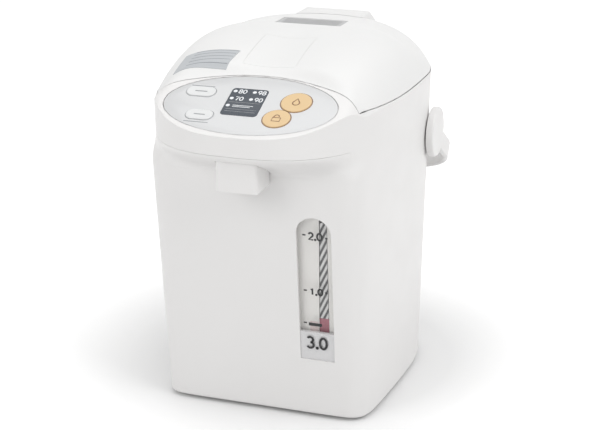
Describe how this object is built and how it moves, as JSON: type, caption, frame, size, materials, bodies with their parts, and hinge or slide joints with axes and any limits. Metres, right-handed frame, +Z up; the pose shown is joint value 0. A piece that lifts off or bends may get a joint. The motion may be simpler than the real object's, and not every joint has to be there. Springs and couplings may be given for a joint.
{
  "type": "electric thermo pot",
  "caption": "Electric thermo pot with a leaning front, hooded spout, tilted control panel, domed hinged lid, swing handle and turntable base.",
  "frame": {"origin": "on the floor under the turntable's axis, at the middle of the centre pad's underside", "axes": "+Z up, -Y towards the spout and the control panel, +X towards the side of the water level gauge"},
  "size_m": [0.2182, 0.3161, 0.304],
  "materials": {
    "shell_white": "satin moulded, warm white",
    "lid_white": "satin moulded, white",
    "trim_grey": "matt moulded, pale grey",
    "inner_plastic": "matt moulded, white",
    "panel_silver": "fine metallic coat, silver blue",
    "vent_grey": "matt moulded, grey",
    "display_dark": "glossy dark window",
    "key_orange": "soft orange",
    "key_white": "matt white",
    "gauge_clear": "clear plastic",
    "steel": "bright drawn steel",
    "rubber": "matt silicone rubber",
    "board_green": "solder resist",
    "dark_plastic": "matt black",
    "lamp_red": "clear red lens",
    "brass": "plain"
  },
  "bodies": {
    "base": {"base_disc": "trim_grey", "rubber_feet": "rubber", "glide_ring": "inner_plastic", "swivel_fixings": "steel"},
    "lid": {"lid_cover": "lid_white", "lid_base": "inner_plastic", "lid_plate": "steel", "lid_gasket": "rubber", "steam_duct": "inner_plastic", "vent_grille": "vent_grey", "hinge_cap": "lid_white", "lid_label": "panel_silver", "lever_spring": "steel", "lever_pin": "steel"},
    "lid_lever": {"lid_lever": "lid_white"},
    "lid_latch": {"lid_latch": "dark_plastic"},
    "carry_handle": {"carry_handle": "shell_white"},
    "key_dispense": {"key_dispense": "key_orange"},
    "key_unlock": {"key_unlock": "key_orange"},
    "key_select": {"key_select": "key_white"},
    "key_timer": {"key_timer": "key_white"},
    "pump_impeller": {"pump_impeller": "inner_plastic"},
    "tip_ball": {"tip_ball": "steel"},
    "steam_ball": {"steam_ball": "steel"},
    "pot": {"bottom_cover": "inner_plastic", "bottom_screws": "steel", "outer_body": "shell_white", "top_casing": "shell_white", "spout_cover": "shell_white", "spout_guard": "shell_white", "spout_nozzle": "vent_grey", "outlet_pipe": "rubber", "tip_valve": "inner_plastic", "operation_panel": "panel_silver", "display_window": "display_dark", "control_board": "board_green", "board_screws": "steel", "key_switches": "dark_plastic", "led_lamps": "lamp_red", "gauge_window": "gauge_clear", "gauge_plate": "vent_grey", "gauge_tube": "gauge_clear", "tube_seals": "rubber", "inner_container": "steel", "mouth_ring": "rubber", "heat_shield": "steel", "heater_plate": "steel", "thermostat": "dark_plastic", "thermal_fuse": "dark_plastic", "pump_housing": "inner_plastic", "pump_motor": "steel", "suction_pipe": "rubber", "delivery_hose": "rubber", "power_board": "board_green", "inlet_socket": "dark_plastic", "socket_pins": "brass", "hinge_bracket": "shell_white", "hinge_pin": "steel", "handle_pins": "shell_white"}
  },
  "joints": [
    {"name": "base_swivel", "type": "hinge", "parent": "base", "child": "pot", "pos_m": [0, 0, 0], "axis": [0, 0, 1], "continuous": true},
    {"name": "lid_hinge", "type": "hinge", "parent": "pot", "child": "lid", "pos_m": [0, 0.1055, 0.2645], "axis": [-1, 0, 0], "range_deg": [0, 88]},
    {"name": "lever_press", "type": "hinge", "parent": "lid", "child": "lid_lever", "pos_m": [0, -0.049, 0.29], "axis": [1, 0, 0], "range_deg": [0, 7], "stiffness_Nm_per_rad": 0.6},
    {"name": "latch_slide", "type": "slide", "parent": "lid", "child": "lid_latch", "axis": [0, 1, 0], "range_m": [0, 0.0035]},
    {"name": "handle_swing", "type": "hinge", "parent": "pot", "child": "carry_handle", "pos_m": [0, 0.025, 0.212], "axis": [1, 0, 0], "range_deg": [0, 120]},
    {"name": "key_dispense_press", "type": "slide", "parent": "pot", "child": "key_dispense", "axis": [0, 0.3762, -0.9265], "range_m": [0, 0.0008], "stiffness_N_per_m": 2200},
    {"name": "key_unlock_press", "type": "slide", "parent": "pot", "child": "key_unlock", "axis": [0, 0.3762, -0.9265], "range_m": [0, 0.0008], "stiffness_N_per_m": 2200},
    {"name": "key_select_press", "type": "slide", "parent": "pot", "child": "key_select", "axis": [0, 0.3762, -0.9265], "range_m": [0, 0.0008], "stiffness_N_per_m": 2200},
    {"name": "key_timer_press", "type": "slide", "parent": "pot", "child": "key_timer", "axis": [0, 0.3762, -0.9265], "range_m": [0, 0.0008], "stiffness_N_per_m": 2200},
    {"name": "impeller_spin", "type": "hinge", "parent": "pot", "child": "pump_impeller", "pos_m": [0.044, -0.054, 0.04], "axis": [0, 0, 1], "continuous": true},
    {"name": "tip_ball_travel", "type": "slide", "parent": "pot", "child": "tip_ball", "axis": [0, 0, 1], "range_m": [0, 0.0058]},
    {"name": "steam_ball_travel", "type": "slide", "parent": "lid", "child": "steam_ball", "axis": [0, 0, 1], "range_m": [0, 0.008]}
  ],
  "couplings": [
    {"joint": "latch_slide", "follows": "lever_press", "m_per_rad": 0.0245}
  ]
}
